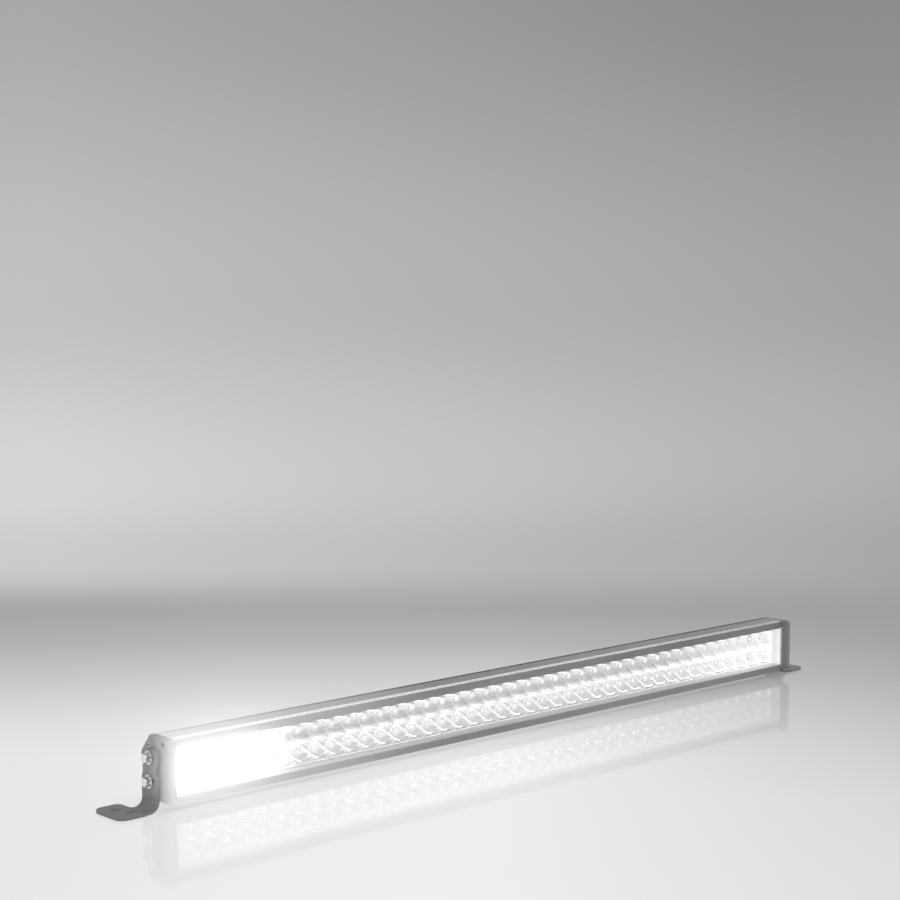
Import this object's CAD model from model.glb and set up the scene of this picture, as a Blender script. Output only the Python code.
"""Looks of a double-row LED light bar on tilting L-brackets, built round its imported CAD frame."""

import math

import bmesh
import bpy
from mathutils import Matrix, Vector


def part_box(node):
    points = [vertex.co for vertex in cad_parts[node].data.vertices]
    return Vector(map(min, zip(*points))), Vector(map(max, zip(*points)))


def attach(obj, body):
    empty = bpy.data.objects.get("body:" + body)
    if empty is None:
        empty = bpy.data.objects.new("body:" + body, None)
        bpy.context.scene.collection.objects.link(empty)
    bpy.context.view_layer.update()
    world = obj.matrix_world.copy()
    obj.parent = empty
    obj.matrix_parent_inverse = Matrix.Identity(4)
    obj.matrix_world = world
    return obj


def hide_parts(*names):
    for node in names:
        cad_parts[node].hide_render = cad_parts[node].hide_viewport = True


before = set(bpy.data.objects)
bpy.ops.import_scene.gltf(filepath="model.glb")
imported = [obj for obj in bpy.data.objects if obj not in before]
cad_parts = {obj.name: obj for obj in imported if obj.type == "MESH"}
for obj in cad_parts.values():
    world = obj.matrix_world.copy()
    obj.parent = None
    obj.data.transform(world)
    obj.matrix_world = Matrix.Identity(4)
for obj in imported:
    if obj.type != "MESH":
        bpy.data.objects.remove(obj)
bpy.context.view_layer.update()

MM = 0.001

# ---- sizes read from the frame ----

REFLECTORS = ["reflector_%d" % i for i in range(1, 7)]
BOARDS = ["left", "middle", "right"]
COLUMNS = 7  # columns of cells in one reflector

first_low, first_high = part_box(REFLECTORS[0])
second_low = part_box(REFLECTORS[1])[0]
cell_pitch = (second_low.x - first_low.x) / COLUMNS
cells_front = first_low.y
seam_z = (first_low.z + first_high.z) / 2
light_half = len(REFLECTORS) * COLUMNS * cell_pitch / 2
board_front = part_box("left_led_board")[0].y
bar_low, bar_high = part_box("housing")
cap_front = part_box("left_end_cap")[0].y

# ---- camera and stage ----

CAMERA_PLACE = Vector((-1.6573, -1.7027, 0.5620))
CAMERA_YAW = math.radians(42.724)
CAMERA_PITCH = math.radians(4.987)
CAMERA_LENS = 76.0
VIEW_FLAT = Vector((math.sin(CAMERA_YAW), math.cos(CAMERA_YAW), 0))
VIEW_RIGHT = Vector((math.cos(CAMERA_YAW), -math.sin(CAMERA_YAW), 0))
FLOOR_Z = 0.0
FLOOR_REACH = 14.0
FLOOR_FROM = 1.6  # where the floor's tones start, in metres from the camera
WALL_DISTANCE = 3.23
WALL_TOP = 3.0
WALL_HALF = 3.0
COVE = 0.12  # radius of the round between floor and wall
COVE_STEPS = 10
ROOM_LIGHT = 0.45  # brightness of the wall for every ray but the camera's
WORLD_TONE = 0.62
WORLD_STRENGTH = 0.75

# Tones as (place, grey) pairs at the left and right of the view: on the floor from the camera's
# side to the wall, on the wall from its foot upwards.
FLOOR_LEFT = [(0.1, 0.855), (0.38, 0.90), (0.5, 0.82), (0.66, 0.62), (0.84, 0.42), (1.0, 0.32)]
FLOOR_RIGHT = [(0.1, 0.75), (0.27, 0.715), (0.5, 0.535), (0.66, 0.40), (0.84, 0.30), (1.0, 0.25)]
WALL_LEFT = [(0.0, 0.40), (0.08, 0.60), (0.2, 0.67), (0.5, 0.53), (1.0, 0.39)]
WALL_RIGHT = [(0.0, 0.36), (0.1, 0.37), (0.25, 0.41), (0.5, 0.36), (1.0, 0.26)]
WALL_TONES_TO = 1.1  # height at which the wall's tones end

# ---- the lamp's own light ----

# The columns at each end flood wider and look brighter than the ones in the middle. The change
# fades over a stretch on both sides of FLOOD_FROM.
END_COLUMNS = 6
FLOOD_FROM = light_half - END_COLUMNS * cell_pitch
LEFT_FADE = 1.2 * cell_pitch
RIGHT_FADE = 3.2 * cell_pitch
LEFT_GLARE = 2.4  # how much the left end dazzles the camera

# The light spills on the faces round the lens. In a pair it starts to fade at the first value and
# is gone at the second.
SPILL_INSET = 0.4 * MM  # behind the bezel's front
SPILL_RISE = 0.8 * MM
SPILL_DEPTH = (8 * MM, 10 * MM)  # behind the front of the cells
SPILL_LEVEL = (4 * MM, 5 * MM)  # over and under the cells
SPILL_ENDS = (1.2 * MM, 1.4 * MM)  # past the ends of the housing
SPILL_IN_ROOM = 0.4  # share of it that every ray but the camera's sees

# Glare veils the left half of the bar, the left cap and the left leg.
HAZE_FROM, HAZE_TO = -bar_high.x, -120 * MM
HAZE_CURVE = 1.15
HAZE_BEHIND = 34 * MM  # this far behind a cap's front, a share of HAZE_LEFT is left
HAZE_LEFT = 0.15
HAZE_MIDDLE = 10 * MM  # caps and legs to the right of this have none
HAZE_LEG = (8 * MM, 45 * MM)  # heights between which it sets in on a leg
HAZE_TURN = (0.25, 0.6)  # how far a face may turn to the rear before the veil is gone

CUP_REACH = 22 * MM  # a ray shorter than this comes from the LED's own cup
CUP_ROOM_LIGHT = 0.22  # glow of cups and LEDs for every ray but the camera's
LED_SEEN = 0.75  # glow of the LEDs for the camera
LED_GLOW = 1.3  # glow of the LEDs for their cups


# ---- small helpers for node trees and meshes ----

class Shader:
    """A material's node tree, with short calls to add and join nodes."""

    def __init__(self, name):
        self.material = bpy.data.materials.new(name)
        self.material.use_nodes = True
        self.tree = self.material.node_tree
        self.tree.nodes.clear()
        self.out = self.tree.nodes.new("ShaderNodeOutputMaterial")

    def add(self, kind, inputs=None, **settings):
        node = self.tree.nodes.new("ShaderNode" + kind)
        for key, value in settings.items():
            setattr(node, key, value)
        for key, value in (inputs or {}).items():
            self.feed(node.inputs[key], value)
        return node

    def feed(self, socket, value):
        if isinstance(value, bpy.types.NodeSocket):
            self.tree.links.new(value, socket)
        elif isinstance(value, (tuple, list)) and len(value) == 3 and socket.type == "RGBA":
            socket.default_value = (*value, 1)
        else:
            socket.default_value = value

    def math(self, operation, a, b=0.0):
        return self.add("Math", {0: a, 1: b}, operation=operation).outputs[0]

    def plus(self, first, *others):
        for other in others:
            first = self.math("ADD", first, other)
        return first

    def times(self, first, *others):
        for other in others:
            first = self.math("MULTIPLY", first, other)
        return first

    def minus(self, a, b):
        return self.math("SUBTRACT", a, b)

    def absolute(self, value):
        return self.math("ABSOLUTE", value)

    def axes(self, vector=None):
        """The three parts of a vector, or of the point on the object."""
        return self.add("SeparateXYZ", {0: vector or self.place()}).outputs

    def place(self, scale=(1, 1, 1)):
        """Point on the object, in metres times scale."""
        coords = self.add("TexCoord").outputs["Object"]
        return self.add("Mapping", {"Vector": coords, "Scale": scale}).outputs[0]

    def noise(self, scale, detail=4.0, rough=0.55, stretch=(1, 1, 1)):
        inputs = {"Vector": self.place(stretch), "Scale": scale, "Detail": detail, "Roughness": rough}
        return self.add("TexNoise", inputs).outputs["Fac"]

    def remap(self, value, low, high, to_low, to_high):
        return self.add("MapRange", {"Value": value, "From Min": low, "From Max": high,
                                     "To Min": to_low, "To Max": to_high}).outputs[0]

    def rise(self, value, low, high):
        """0 before low, 1 past high."""
        return self.remap(value, low, high, 0.0, 1.0)

    def fall(self, value, low, high):
        """1 before low, 0 past high."""
        return self.remap(value, low, high, 1.0, 0.0)

    def band(self, value, half_width, soft):
        """1 where value is near 0, falling to 0 outside a band."""
        return self.fall(self.absolute(value), half_width, half_width + soft)

    def ramp(self, value, stops, smooth=True):
        """Grey that follows (position, grey) stops."""
        node = self.add("ValToRGB", {"Fac": value})
        elements = node.color_ramp.elements
        node.color_ramp.interpolation = "EASE" if smooth else "LINEAR"
        while len(elements) < len(stops):
            elements.new(0.5)
        for element, (position, tone) in zip(elements, stops):
            element.position = position
            element.color = (*grey(tone), 1)
        return node.outputs["Color"]

    def mix(self, factor, a, b, blend="MIX"):
        node = self.add("Mix", data_type="RGBA", blend_type=blend)
        self.feed(node.inputs["Factor"], factor)
        self.feed(node.inputs[6], a)
        self.feed(node.inputs[7], b)
        return node.outputs[2]

    def mix_shader(self, factor, a, b):
        return self.add("MixShader", {0: factor, 1: a, 2: b}).outputs[0]

    def bump(self, height, strength, distance, normal=None):
        inputs = {"Height": height, "Strength": strength, "Distance": distance}
        if normal is not None:
            inputs["Normal"] = normal
        return self.add("Bump", inputs).outputs[0]

    def edge(self, radius):
        """Rounded normal, and how far it leans away from the flat one: 0 on faces, about 1 on edges."""
        rounded = self.add("Bevel", {"Radius": radius}, samples=4).outputs[0]
        flat = self.add("NewGeometry").outputs["Normal"]
        return rounded, self.rise(self.dot(rounded, flat), 1.0, 0.86)

    def dot(self, a, b):
        return self.add("VectorMath", {0: a, 1: b}, operation="DOT_PRODUCT").outputs["Value"]

    def principled(self, **inputs):
        names = {key.replace("_", " "): value for key, value in inputs.items()}
        return self.add("BsdfPrincipled", names).outputs[0]

    def finish(self, surface):
        self.tree.links.new(surface, self.out.inputs["Surface"])
        return self.material


def grey(value):
    return (value, value, value)


def scaled(colour, factor, lift=0.0):
    """A colour made paler or darker, at most 1 in each channel."""
    return tuple(min(1.0, channel * factor + lift) for channel in colour)


def mesh_piece(name, build, body, materials, node):
    """Makes the piece that stands in for a CAD node from a bmesh builder, and rides it on a body."""
    bm = bmesh.new()
    build(bm)
    bmesh.ops.recalc_face_normals(bm, faces=bm.faces)
    mesh = bpy.data.meshes.new(name)
    bm.to_mesh(mesh)
    bm.free()
    for material in materials:
        mesh.materials.append(material)
    mesh.shade_smooth()
    piece = bpy.data.objects.new(name, mesh)
    bpy.context.scene.collection.objects.link(piece)
    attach(piece, body)
    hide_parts(node)
    return piece


def dress(material, *nodes):
    """Gives CAD nodes a material."""
    for name in nodes:
        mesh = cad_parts[name].data
        mesh.materials.clear()
        mesh.materials.append(material)
        for face in mesh.polygons:
            face.material_index = 0


# ---- shares of the lamp's light ----

def seen(s, direct, other):
    """One value where the camera looks straight at a point, another for every other ray."""
    camera_ray = s.add("LightPath").outputs["Is Camera Ray"]
    return s.plus(other, s.times(camera_ray, s.minus(direct, other)))


def flood_mix(s, middle, left, right):
    """One value along the middle of the light, others in the flood stretches at its ends."""
    x = s.axes()[0]
    at_left = s.remap(x, -FLOOD_FROM - LEFT_FADE, -FLOOD_FROM + LEFT_FADE, left - middle, 0.0)
    at_right = s.remap(x, FLOOD_FROM - RIGHT_FADE, FLOOD_FROM + RIGHT_FADE, 0.0, right - middle)
    return s.plus(middle, at_left, at_right)


def spill_share(s, in_front=0.0):
    """Share of the lamp's own light that falls on a point: inside the recess of the lens, and on
    the inner faces of the caps up to in_front before the bezel."""
    x, y, z = s.axes()
    inner = bar_low.y + SPILL_INSET
    inside = s.rise(y, inner - in_front, inner + SPILL_RISE)
    shallow = s.fall(y, *(cells_front + depth for depth in SPILL_DEPTH))
    level = s.fall(s.absolute(s.minus(z, seam_z)), *(cell_pitch + over for over in SPILL_LEVEL))
    within = s.fall(s.absolute(x), *(bar_high.x + beyond for beyond in SPILL_ENDS))
    brighter_ends = flood_mix(s, 1.0, 2.2, 1.7)
    return s.times(inside, shallow, level, within, brighter_ends, seen(s, 1.0, SPILL_IN_ROOM))


def haze_share(s, part):
    """Veil of glare over the faces beside the brightest stretch, for the camera only. It thins
    along the bar, and on a cap or a leg from its front to its rear."""
    x, y, z = s.axes()
    if part == "bar":
        share = s.math("POWER", s.fall(x, HAZE_FROM, HAZE_TO), HAZE_CURVE)
    else:
        thins = s.remap(y, cap_front, cap_front + HAZE_BEHIND, 1.0, HAZE_LEFT)
        share = s.times(thins, s.fall(x, -HAZE_MIDDLE, HAZE_MIDDLE))
    if part == "leg":
        share = s.times(share, s.rise(z, *HAZE_LEG))
    turned = s.axes(s.add("NewGeometry").outputs["Normal"])[1]
    return seen(s, s.times(share, s.fall(turned, *HAZE_TURN)), 0.0)


# ---- materials ----

def coated_metal(name, tone, rough, drawn=False, grain=0.25, edge_tone=0.6, edge=0.6 * MM,
                 spill=0.0, in_front=0.0, haze=0.0, part="bar"):
    """Powder coat or anodising: fine grain, faint die lines if it was extruded, paler worn edges.
    spill is the lamp's own light on the faces round the lens, haze its glare beside them."""
    s = Shader(name)
    rounded, worn = s.edge(edge)
    fine = s.noise(2600, 3)
    broad = s.noise(28, 3, stretch=(0.25, 1, 1))
    height = fine
    if drawn:
        die_lines = s.noise(1400, 2, stretch=(0.004, 1, 1))
        height = s.plus(s.times(fine, 0.55), s.times(die_lines, 0.45))
    patchy = s.mix(s.rise(broad, 0.35, 0.65), grey(tone * 0.88), grey(tone * 1.12))
    colour = s.mix(s.remap(height, 0.3, 0.7, 0.0, 0.35), patchy, grey(tone * 1.35))
    scuffs = s.times(worn, s.remap(s.noise(420, 5), 0.45, 0.62, 0.25, 1.0))
    colour = s.mix(s.times(scuffs, 0.55), colour, grey(edge_tone))
    open_air = s.add("AmbientOcclusion", {"Distance": 2.5 * MM}, samples=4, only_local=True)
    grime = s.remap(open_air.outputs["AO"], 0.35, 0.9, 0.75, 0.0)
    colour = s.mix(grime, colour, grey(tone * 0.15))
    roughness = s.plus(s.remap(fine, 0.3, 0.7, rough - 0.06, rough + 0.08),
                       s.remap(broad, 0.3, 0.7, -0.03, 0.03))
    own_light = s.times(spill_share(s, in_front), spill)
    if haze:
        own_light = s.plus(own_light, s.times(haze_share(s, part), haze))
    return s.finish(s.principled(Base_Color=colour, Roughness=roughness, Specular_IOR_Level=0.5,
                                 Emission_Color=grey(1.0), Emission_Strength=own_light,
                                 Normal=s.bump(height, grain, 0.05 * MM, rounded)))


def bare_metal(name, tone, rough, tint=(1.0, 1.0, 1.0), turned=False):
    """Zinc or stainless hardware: soft mottling, fine scratches, brighter edges."""
    s = Shader(name)
    rounded, worn = s.edge(0.25 * MM)
    mottle = s.noise(500, 5, 0.6)
    scratch = s.noise(1800, 2, stretch=(1, 0.05, 1) if turned else (0.2, 1, 1))
    pale = min(1.0, tone * 1.12)
    colour = s.mix(s.rise(mottle, 0.35, 0.65), scaled(tint, tone * 0.78), scaled(tint, pale))
    colour = s.mix(s.times(worn, 0.6), colour, grey(0.9))
    roughness = s.remap(s.plus(mottle, s.times(scratch, 0.6)), 0.5, 1.1, rough - 0.1, rough + 0.14)
    return s.finish(s.principled(Base_Color=colour, Roughness=roughness, Metallic=1.0,
                                 Normal=s.bump(scratch, 0.12, 0.03 * MM, rounded)))


def moulded(name, colour, rough, grain=0.2, scale=1500.0, spill=0.0, lit=0.0):
    """Moulded nylon, rubber or silicone with a fine skin and slight patchiness. spill is the lamp's
    light on the faces round the lens, lit the light that reaches a part deep between the cells."""
    s = Shader(name)
    rounded, worn = s.edge(0.3 * MM)
    skin = s.noise(scale, 4, 0.6)
    patch = s.noise(90, 3)
    tone = s.mix(s.rise(patch, 0.35, 0.65), scaled(colour, 0.8), scaled(colour, 1.25, 0.01))
    tone = s.mix(s.times(worn, 0.3), tone, scaled(colour, 1.5, 0.05))
    roughness = s.remap(skin, 0.3, 0.7, rough - 0.08, rough + 0.08)
    own_light = s.plus(s.times(spill_share(s), spill), lit)
    return s.finish(s.principled(Base_Color=tone, Roughness=roughness, Specular_IOR_Level=0.4,
                                 Emission_Color=grey(1.0), Emission_Strength=own_light,
                                 Normal=s.bump(skin, grain, 0.05 * MM, rounded)))


def clear_lens(name):
    """Clear sheet: lets light straight through, mirrors the room at a glance, faint haze of dust.
    Only its outer sides mirror: rays aren't bent here, so an inner side would mirror too many."""
    s = Shader(name)
    dust = s.remap(s.noise(900, 5, 0.7), 0.52, 0.75, 0.0, 0.05)
    through = s.add("BsdfTransparent", {"Color": grey(0.985)}).outputs[0]
    gloss = s.add("BsdfGlossy", {"Color": grey(1.0), "Roughness": 0.03}).outputs[0]
    film = s.add("BsdfDiffuse", {"Color": grey(0.8)}).outputs[0]
    wave = s.bump(s.noise(14, 2, stretch=(0.3, 1, 1)), 0.05, 0.5 * MM)
    fresnel = s.add("Fresnel", {"IOR": 1.32, "Normal": wave}).outputs[0]
    outer_side = s.minus(1.0, s.add("NewGeometry").outputs["Backfacing"])
    body = s.mix_shader(s.plus(dust, 0.006), through, film)
    return s.finish(s.mix_shader(s.times(fresnel, outer_side, 0.8), body, gloss))


# Streaks in the cells, in cell pitches: `along` runs from 0 to 1 across a cell and `up` counts
# from the seam between the rows. The LIGHT values are what a streak adds to the glow.
ALONG_SHIFT = 2.35
SICKLE_UP, SICKLE_DROOP, SICKLE_CURVE, SICKLE_LIGHT = 0.8, 0.26, 1.4, 1.2
WEDGE_FROM, WEDGE_TO, WEDGE_LIGHT = 0.03, 0.09, -0.6
SEAM_DOWN, SEAM_HALF, SEAM_SOFT, SEAM_LIGHT = 0.1, 0.06, 0.24, 0.75
SPIKE_SLANT, SPIKE_DOWN, SPIKE_LIGHT = 0.62, 0.4, 1.2
STREAK_HALF, STREAK_SOFT = 0.02, 0.05
LINE_ANGLE, LINE_LIGHT = 75.0, 0.12
LOWER_FROM, LOWER_TO = -0.46, -0.6
LOWER_LIGHT = 0.2
BRUSH_LIGHT = 0.16


def upper_streaks(s, along, up):
    """A sickle of light under the top edge of the upper row, with a darker wedge over it."""
    droop = s.times(s.math("POWER", along, SICKLE_CURVE), SICKLE_DROOP)
    over = s.minus(up, s.minus(SICKLE_UP, droop))
    sickle = s.times(s.band(over, STREAK_HALF, STREAK_SOFT), SICKLE_LIGHT)
    return s.plus(sickle, s.times(s.rise(over, WEDGE_FROM, WEDGE_TO), WEDGE_LIGHT))


def lower_streaks(s, along, up):
    """Slanted spikes with fine lines beside them, low in the lower row."""
    slant = s.plus(up, s.times(along, SPIKE_SLANT))
    low = s.rise(up, LOWER_FROM, LOWER_TO)
    ends = s.times(s.rise(along, 0.1, 0.3), s.fall(along, 0.8, 0.95))
    spike = s.times(s.band(s.plus(slant, SPIKE_DOWN), STREAK_HALF, STREAK_SOFT), ends, low)
    lines = s.times(s.math("SINE", s.times(slant, LINE_ANGLE)), low)
    pool = s.remap(up, -0.1, -0.4, 0.0, LOWER_LIGHT)
    return s.plus(s.times(spike, SPIKE_LIGHT), s.times(lines, LINE_LIGHT), pool)


def cell_streaks(s):
    """Light gathered along the walls of the cells, with a bright seam between the two rows."""
    x, _, z = s.axes()
    columns = s.math("DIVIDE", s.plus(x, light_half), cell_pitch)
    along = s.math("FRACT", s.plus(columns, ALONG_SHIFT))
    up = s.math("DIVIDE", s.minus(z, seam_z), cell_pitch)
    seam = s.times(s.band(s.plus(up, SEAM_DOWN), SEAM_HALF, SEAM_SOFT), SEAM_LIGHT)
    brushed = s.remap(s.noise(260, 4, 0.6, stretch=(0.25, 1, 1)), 0.3, 0.7, -BRUSH_LIGHT, BRUSH_LIGHT)
    return s.plus(upper_streaks(s, along, up), seam, lower_streaks(s, along, up), brushed)


def cup_plating(name):
    """Plated plastic cup that carries the light of its LED, by the glow value of its points. The
    left end dazzles the camera."""
    s = Shader(name)
    ripple = s.noise(420, 3, 0.6)
    carried = s.times(s.add("Attribute", attribute_name="glow").outputs["Fac"],
                      s.remap(ripple, 0.3, 0.7, 0.85, 1.12))
    carried = s.plus(carried, cell_streaks(s))
    contrast = flood_mix(s, 0.45, 0.5, 0.26)
    lift = flood_mix(s, 0.02, 0.9, 0.42)
    dazzle = s.math("POWER", flood_mix(s, 0.0, 1.0, 0.0), 2.0)
    to_camera = s.plus(s.times(carried, contrast), lift, s.times(dazzle, LEFT_GLARE))
    s.material.cycles.emission_sampling = "NONE"
    return s.finish(s.principled(Base_Color=grey(0.7), Metallic=1.0,
                                 Roughness=s.remap(ripple, 0.3, 0.7, 0.12, 0.22),
                                 Emission_Color=grey(1.0),
                                 Emission_Strength=seen(s, to_camera, CUP_ROOM_LIGHT),
                                 Normal=s.bump(ripple, 0.12, 0.2 * MM)))


def led_glow(name, tint):
    """Phosphor or dome of a lit LED: full strength for its own cup, softened for the camera."""
    s = Shader(name)
    in_cup = s.math("LESS_THAN", s.add("LightPath").outputs["Ray Length"], CUP_REACH)
    for_cup = s.times(in_cup, flood_mix(s, LED_GLOW, LED_GLOW, LED_GLOW * 0.4))
    strength = s.plus(for_cup, seen(s, LED_SEEN, CUP_ROOM_LIGHT))
    strength = s.times(strength, s.remap(s.noise(3000, 3), 0.3, 0.7, 0.9, 1.1))
    s.material.cycles.emission_sampling = "NONE"
    return s.finish(s.principled(Base_Color=tint, Roughness=0.25, Emission_Color=tint,
                                 Emission_Strength=strength))


def stage_spot(s):
    """Distance of a stage point along the view, its place to the right, and its height."""
    spot = s.add("TexCoord").outputs["Object"]
    away = s.minus(s.dot(spot, tuple(VIEW_FLAT)), CAMERA_PLACE.dot(VIEW_FLAT))
    return away, s.dot(spot, tuple(VIEW_RIGHT)), s.axes(spot)[2]


def stage_floor(name):
    """Pale glossy floor that dims towards the wall and to the right."""
    s = Shader(name)
    away, side, _ = stage_spot(s)
    reach = s.rise(away, FLOOR_FROM, WALL_DISTANCE)
    slope = s.math("DIVIDE", side, s.math("MAXIMUM", away, 1.0))
    tone = s.mix(s.rise(slope, 0.0, 0.235), s.ramp(reach, FLOOR_LEFT, smooth=False),
                 s.ramp(reach, FLOOR_RIGHT, smooth=False))
    middle = s.remap(s.absolute(s.plus(slope, 0.05)), 0.0, 0.2, 1.06, 1.0)
    tone = s.mix(1.0, tone, middle, "MULTIPLY")
    lit = s.add("Emission", {"Color": tone, "Strength": 0.71}).outputs[0]
    shaded = s.add("BsdfDiffuse", {"Color": s.mix(1.0, tone, grey(0.42), "MULTIPLY")}).outputs[0]
    body = s.add("AddShader", {0: lit, 1: shaded}).outputs[0]
    polish = s.remap(s.noise(5, 3), 0.3, 0.7, 0.04, 0.08)
    gloss = s.add("BsdfGlossy", {"Color": grey(1.0), "Roughness": polish}).outputs[0]
    fresnel = s.add("Fresnel", {"IOR": 1.6}).outputs[0]
    return s.finish(s.mix_shader(fresnel, body, gloss))


def stage_wall(name):
    """Softly lit wall, brightest just above the floor and to the left; seen from its front only."""
    s = Shader(name)
    _, side, height = stage_spot(s)
    rise = s.rise(height, 0.0, WALL_TONES_TO)
    right_from = s.remap(height, 0.4, 1.05, 0.85, 0.45)
    tone = s.mix(s.rise(side, -0.75, right_from), s.ramp(rise, WALL_LEFT), s.ramp(rise, WALL_RIGHT))
    lit = s.add("Emission", {"Color": tone, "Strength": 1.0}).outputs[0]
    room = s.add("Emission", {"Color": grey(1.0), "Strength": ROOM_LIGHT}).outputs[0]
    front = s.mix_shader(s.add("LightPath").outputs["Is Camera Ray"], room, lit)
    clear = s.add("BsdfTransparent").outputs[0]
    hidden = s.math("MAXIMUM", s.add("NewGeometry").outputs["Backfacing"], s.fall(height, 0.0, 0.05))
    return s.finish(s.mix_shader(hidden, front, clear))


# ---- reflector cups ----

CUP_SIDES = 32
CUP_RINGS = 9
CUP_HOLE = 4.2 * MM
CUP_SHEET = 0.2 * MM
CUP_BEHIND = 0.3 * MM  # room between a cup's bottom and its board
CUP_DEPTH = board_front - CUP_BEHIND - cells_front
CUP_CURVE = 2.6
CUP_CREASE = math.radians(35)
WELD = 0.02 * MM  # points nearer than this become one
NEAR = 0.01 * MM  # how near to the outline's planes its points lie

# Glow that a cup's points carry: above and below on its rim, at the sides of the rim, at the bottom
# of the bowl, high on its wall, and on the frame round the cups.
CREST_GLOW, SIDE_GLOW, FLOOR_GLOW, WALL_GLOW, FRAME_GLOW = 0.75, 0.5, 0.5, 0.55, 0.9


def cup_depth(r):
    """How far a cup lies behind the front plane, at a distance from its middle; 0 at its corners."""
    corner = cell_pitch / math.sqrt(2)
    share = max(0.0, min(1.0, (r - CUP_HOLE) / (corner - CUP_HOLE)))
    return CUP_DEPTH * (1 - share ** CUP_CURVE)


def add_cell(bm, glow, centre):
    """One square cell: a bowl whose rim rises from the middle of each side to the corners. centre
    holds its X and Z."""
    last = None
    for j in range(CUP_RINGS + 1):
        t = j / CUP_RINGS
        ring = []
        for k in range(CUP_SIDES):
            angle = 2 * math.pi * k / CUP_SIDES
            cosine, sine = math.cos(angle), math.sin(angle)
            side = cell_pitch / 2 / max(abs(cosine), abs(sine))
            r = CUP_HOLE + (side - CUP_HOLE) * t
            vert = bm.verts.new((centre.x + r * cosine, cells_front + cup_depth(r), centre.y + r * sine))
            if j == CUP_RINGS:
                vert[glow] = SIDE_GLOW + (CREST_GLOW - SIDE_GLOW) * abs(sine)
            else:
                vert[glow] = WALL_GLOW + (FLOOR_GLOW - WALL_GLOW) * (1 - t)
            ring.append(vert)
        if last:
            for k in range(CUP_SIDES):
                after = (k + 1) % CUP_SIDES
                bm.faces.new((last[k], last[after], ring[after], ring[k]))
        last = ring


def add_frame(bm, glow, ends):
    """Walls that carry the scalloped outer rim forward to the front plane."""
    half_x, half_z = COLUMNS * cell_pitch / 2, cell_pitch

    def outer(v):
        if abs(v.co.z - seam_z) > half_z - NEAR:
            return True
        return any(abs(v.co.x - end * half_x) < NEAR for end in ends)

    rim = [e for e in bm.edges if e.is_boundary and all(outer(v) for v in e.verts)]
    for item in bmesh.ops.extrude_edge_only(bm, edges=rim)["geom"]:
        if isinstance(item, bmesh.types.BMVert):
            item.co.y = cells_front
            item[glow] = FRAME_GLOW


def reflector_cups(node, material):
    """The two rows of cups of one reflector, fitted to the box of its CAD node."""
    low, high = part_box(node)
    middle = (low.x + high.x) / 2
    squeeze_x = (high.x - low.x) / (COLUMNS * cell_pitch)
    squeeze_z = (high.z - low.z) / (2 * cell_pitch)
    ends = [side for side, last in ((-1, REFLECTORS[0]), (1, REFLECTORS[-1])) if node == last]

    def build(bm):
        glow = bm.verts.layers.float.new("glow")
        for column in range(COLUMNS):
            for row in (-0.5, 0.5):
                x = (column - (COLUMNS - 1) / 2) * cell_pitch
                add_cell(bm, glow, Vector((x, seam_z + row * cell_pitch)))
        bmesh.ops.remove_doubles(bm, verts=bm.verts, dist=WELD)
        add_frame(bm, glow, ends)
        bmesh.ops.remove_doubles(bm, verts=bm.verts, dist=WELD)
        for v in bm.verts:
            v.co.x = middle + v.co.x * squeeze_x
            v.co.z = seam_z + (v.co.z - seam_z) * squeeze_z

    piece = mesh_piece(node + "_cups", build, "lamp", [material], node)
    sheet = piece.modifiers.new("sheet", "SOLIDIFY")
    sheet.thickness = CUP_SHEET
    sheet.offset = -1
    crease = piece.modifiers.new("crease", "EDGE_SPLIT")
    crease.split_angle = CUP_CREASE


# ---- LEDs ----

LED_SIZE = 3.45 * MM
LED_HEIGHT = 0.7 * MM
LED_BEVEL = 0.15 * MM
PHOSPHOR_SIZE = LED_SIZE * 0.62
PHOSPHOR_PROUD = 0.12 * MM
PHOSPHOR_SUNK = 0.05 * MM
PHOSPHOR_BEVEL = 0.04 * MM
DOME_RADIUS = 1.45 * MM
DOME_HEIGHT = DOME_RADIUS * 0.85
DOME_RINGS = 6
DOME_SIDES = 20
CERAMIC, PHOSPHOR, DOME = 0, 1, 2  # material slots
led_face = board_front - LED_HEIGHT


def add_block(bm, x, z, size, y_near, y_far, bevel, slot):
    """Bevelled square block round a line through x and z, from y_near to y_far."""
    made = bmesh.ops.create_cube(bm, size=1)["verts"]
    for v in made:
        y = (y_near + y_far) / 2 + v.co.y * (y_far - y_near)
        v.co = Vector((x + v.co.x * size, y, z + v.co.z * size))
    edges = list(dict.fromkeys(e for v in made for e in v.link_edges))
    shaped = bmesh.ops.bevel(bm, geom=edges, offset=bevel, segments=2, affect="EDGES")
    for face in set(shaped["faces"]) | {f for v in shaped["verts"] for f in v.link_faces}:
        face.material_index = slot


def add_dome(bm, x, z):
    """Closed low dome on the face of an LED."""
    turns = [2 * math.pi * k / DOME_SIDES for k in range(DOME_SIDES)]
    rings = []
    for j in range(DOME_RINGS):
        lift = math.pi / 2 * j / DOME_RINGS
        radius = DOME_RADIUS * math.cos(lift)
        y = led_face - DOME_HEIGHT * math.sin(lift)
        rings.append([bm.verts.new((x + radius * math.cos(a), y, z + radius * math.sin(a))) for a in turns])
    tip = bm.verts.new((x, led_face - DOME_HEIGHT, z))
    for lower, upper in zip(rings, rings[1:]):
        for k in range(DOME_SIDES):
            after = (k + 1) % DOME_SIDES
            bm.faces.new((lower[k], lower[after], upper[after], upper[k])).material_index = DOME
    for k in range(DOME_SIDES):
        bm.faces.new((rings[-1][k], rings[-1][(k + 1) % DOME_SIDES], tip)).material_index = DOME
    bm.faces.new(rings[0]).material_index = DOME


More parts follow.
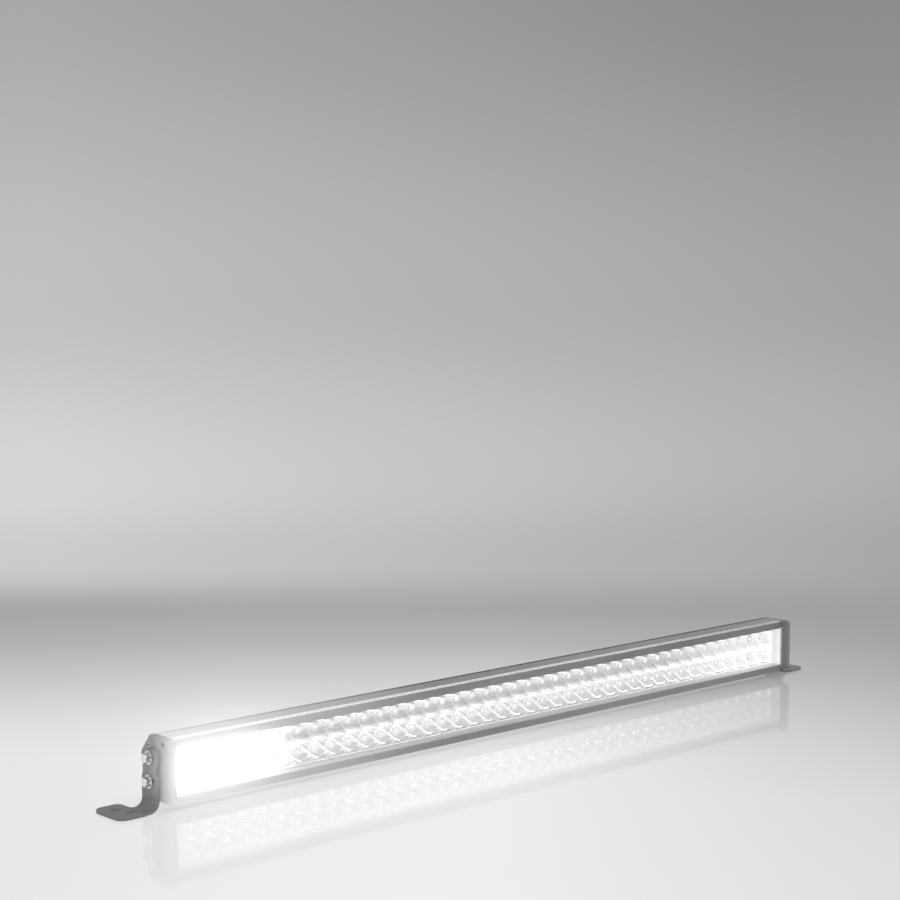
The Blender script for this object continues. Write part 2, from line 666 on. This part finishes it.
def led_package(bm, x, z):
    """Bevelled ceramic square, phosphor square on its face, and a clear dome, all facing -Y."""
    add_block(bm, x, z, LED_SIZE, led_face, board_front, LED_BEVEL, CERAMIC)
    add_block(bm, x, z, PHOSPHOR_SIZE, led_face - PHOSPHOR_PROUD, led_face + PHOSPHOR_SUNK,
              PHOSPHOR_BEVEL, PHOSPHOR)
    add_dome(bm, x, z)


def led_group(side, materials):
    """The two rows of LEDs on one board."""
    node = side + "_leds"
    low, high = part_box(node)
    middle = (low.x + high.x) / 2
    count = 2 * COLUMNS

    def build(bm):
        for column in range(count):
            for row in (-0.5, 0.5):
                led_package(bm, middle + (column - (count - 1) / 2) * cell_pitch, seam_z + row * cell_pitch)

    mesh_piece(node + "_detail", build, "lamp", materials, node)


# ---- stage, lights and camera ----

def stage_mesh(name, corners, faces, material):
    mesh = bpy.data.meshes.new(name)
    mesh.from_pydata([tuple(c) for c in corners], [], faces)
    mesh.materials.append(material)
    mesh.shade_smooth()
    made = bpy.data.objects.new(name, mesh)
    bpy.context.scene.collection.objects.link(made)


def build_floor():
    """Square floor that reaches past the wall and the camera."""
    corners = [(x * FLOOR_REACH, y * FLOOR_REACH, FLOOR_Z) for x, y in ((-1, -1), (1, -1), (1, 1), (-1, 1))]
    stage_mesh("floor", corners, [(0, 1, 2, 3)], stage_floor("stage_floor"))


def build_wall():
    """Upright wall square to the view, with a round at its foot."""
    foot = CAMERA_PLACE + VIEW_FLAT * WALL_DISTANCE
    foot.z = FLOOR_Z + 0.5 * MM
    angles = [math.pi / 2 * i / COVE_STEPS for i in range(COVE_STEPS + 1)]
    line = [(COVE * (math.sin(a) - 1), COVE * (1 - math.cos(a))) for a in angles] + [(0.0, WALL_TOP)]
    corners = [foot + VIEW_FLAT * back + VIEW_RIGHT * side + Vector((0, 0, up))
               for back, up in line for side in (-WALL_HALF, WALL_HALF)]
    faces = [(2 * i, 2 * i + 1, 2 * i + 3, 2 * i + 2) for i in range(len(line) - 1)]
    stage_mesh("wall", corners, faces, stage_wall("stage_wall"))


def area_light(name, place, target, size, power, diffuse=True, glossy=True):
    """Rectangular softbox that faces its target and stays out of the camera's sight."""
    data = bpy.data.lights.new(name, "AREA")
    data.shape = "RECTANGLE"
    data.size, data.size_y = size
    data.energy = power
    lamp = bpy.data.objects.new(name, data)
    lamp.location = place
    lamp.rotation_euler = (Vector(target) - Vector(place)).to_track_quat("-Z", "Y").to_euler()
    lamp.visible_camera = False
    lamp.visible_diffuse = diffuse
    lamp.visible_glossy = glossy
    bpy.context.scene.collection.objects.link(lamp)


def build_lights():
    """Soft light from above and from the left, a long softbox for the shine along the upper front
    edge, a small one over the bar, and a grey room."""
    area_light("key", (-0.3, -1.1, 2.6), (0, 0, 0), (2.4, 1.4), 26, glossy=False)
    area_light("fill", (-2.6, -0.4, 1.4), (0, 0, 0), (1.6, 1.2), 10)
    area_light("edge", (1.15, -0.33, 1.1), (1.15, -0.03, 0.08), (2.2, 0.4), 40, diffuse=False)
    area_light("top", (0.6, 0.15, 0.9), (0.5, 0, 0.08), (0.6, 0.4), 2)
    world = bpy.data.worlds.new("studio")
    bpy.context.scene.world = world
    world.use_nodes = True
    background = world.node_tree.nodes["Background"]
    background.inputs["Color"].default_value = (*grey(WORLD_TONE), 1)
    background.inputs["Strength"].default_value = WORLD_STRENGTH


def build_camera():
    data = bpy.data.cameras.new("camera")
    data.lens = CAMERA_LENS
    data.clip_start, data.clip_end = 0.01, 60
    camera = bpy.data.objects.new("camera", data)
    camera.location = CAMERA_PLACE
    camera.rotation_euler = (math.pi / 2 - CAMERA_PITCH, 0, -CAMERA_YAW)
    bpy.context.scene.collection.objects.link(camera)
    bpy.context.scene.camera = camera


# ---- the whole object ----

def dress_lamp_body():
    """Housing, lens, caps, brackets and their hardware, which keep their CAD shapes."""
    dress(coated_metal("housing_coat", 0.2, 0.38, drawn=True, spill=0.22, haze=0.48), "housing")
    dress(coated_metal("cap_coat", 0.2, 0.45, grain=0.5, edge=1.0 * MM, spill=0.3, in_front=2 * MM,
                       haze=0.4, part="cap"), "left_end_cap", "right_end_cap")
    dress(coated_metal("bracket_coat", 0.14, 0.4, grain=0.4, edge_tone=0.4, haze=0.3, part="leg"),
          "left_bracket", "right_bracket")
    dress(clear_lens("clear_lens"), "lens")
    dress(moulded("seal_silicone", grey(0.3), 0.55, spill=0.4),
          "upper_lens_seal", "lower_lens_seal", "left_cap_gasket", "right_cap_gasket")
    dress(bare_metal("bolt_steel", 0.85, 0.22, turned=True), "pivot_bolts", "lock_bolts")
    dress(bare_metal("washer_steel", 0.8, 0.26), "flat_washers", "spring_washers")
    dress(bare_metal("cap_screw_steel", 0.5, 0.35), "cap_screws", "board_screws")


def dress_electrics():
    """Boards, driver, leads, cable and plug, which keep their CAD shapes."""
    boards = [side + "_led_board" for side in BOARDS]
    pads = [side + "_thermal_pad" for side in BOARDS]
    dress(moulded("board_mask", grey(0.85), 0.35, 0.08, lit=0.3), *boards)
    dress(moulded("pad_silicone", (0.55, 0.56, 0.6), 0.7), *pads)
    dress(moulded("driver_mask", (0.03, 0.2, 0.08), 0.35, 0.1), "driver_board")
    dress(moulded("winding", (0.12, 0.11, 0.1), 0.6), "driver_inductors")
    dress(bare_metal("capacitor_can", 0.6, 0.3), "driver_capacitors")
    dress(moulded("transistor_case", grey(0.06), 0.55), "driver_transistors")
    dress(moulded("lead_sheath", (0.5, 0.05, 0.04), 0.5), "led_leads", "supply_leads")
    dress(moulded("gland_nylon", grey(0.06), 0.5, 0.35, 900), "cable_gland", "gland_nut", "vent_plug")
    dress(moulded("silicone", grey(0.05), 0.6), "gland_seal", "vent_o_ring")
    dress(moulded("cable_sheath", grey(0.045), 0.45, 0.25, 700), "power_cable")
    dress(moulded("connector_nylon", grey(0.07), 0.45, 0.3, 1100), "connector_body")
    dress(bare_metal("contact_brass", 0.75, 0.3, (1.0, 0.8, 0.45)), "connector_pins")
    dress(moulded("connector_silicone", (0.7, 0.2, 0.05), 0.6), "connector_seal")


def build_light():
    """Reflector cups and LEDs, which stand in for their CAD nodes."""
    plating = cup_plating("reflector_plating")
    for node in REFLECTORS:
        reflector_cups(node, plating)
    led_parts = [moulded("led_ceramic", grey(0.8), 0.4, 0.05, lit=0.4),
                 led_glow("led_phosphor", (1.0, 0.97, 0.9)),
                 led_glow("led_dome", (1.0, 1.0, 1.0))]
    for side in BOARDS:
        led_group(side, led_parts)


def picture_finish():
    """Plain display of the greys, and the soft glow of a lit lamp in a lens."""
    scene = bpy.context.scene
    scene.view_settings.view_transform = "Standard"
    scene.view_settings.look = "None"
    scene.use_nodes = True
    tree = scene.node_tree
    tree.nodes.clear()
    layers = tree.nodes.new("CompositorNodeRLayers")
    glare = tree.nodes.new("CompositorNodeGlare")
    glare.glare_type = "BLOOM"
    glare.quality = "HIGH"
    for key, value in (("Threshold", 1.1), ("Smoothness", 0.1), ("Strength", 0.85), ("Size", 0.55)):
        glare.inputs[key].default_value = value
    out = tree.nodes.new("CompositorNodeComposite")
    tree.links.new(layers.outputs["Image"], glare.inputs["Image"])
    tree.links.new(glare.outputs["Image"], out.inputs["Image"])


dress_lamp_body()
dress_electrics()
build_light()
build_floor()
build_wall()
build_lights()
build_camera()
picture_finish()
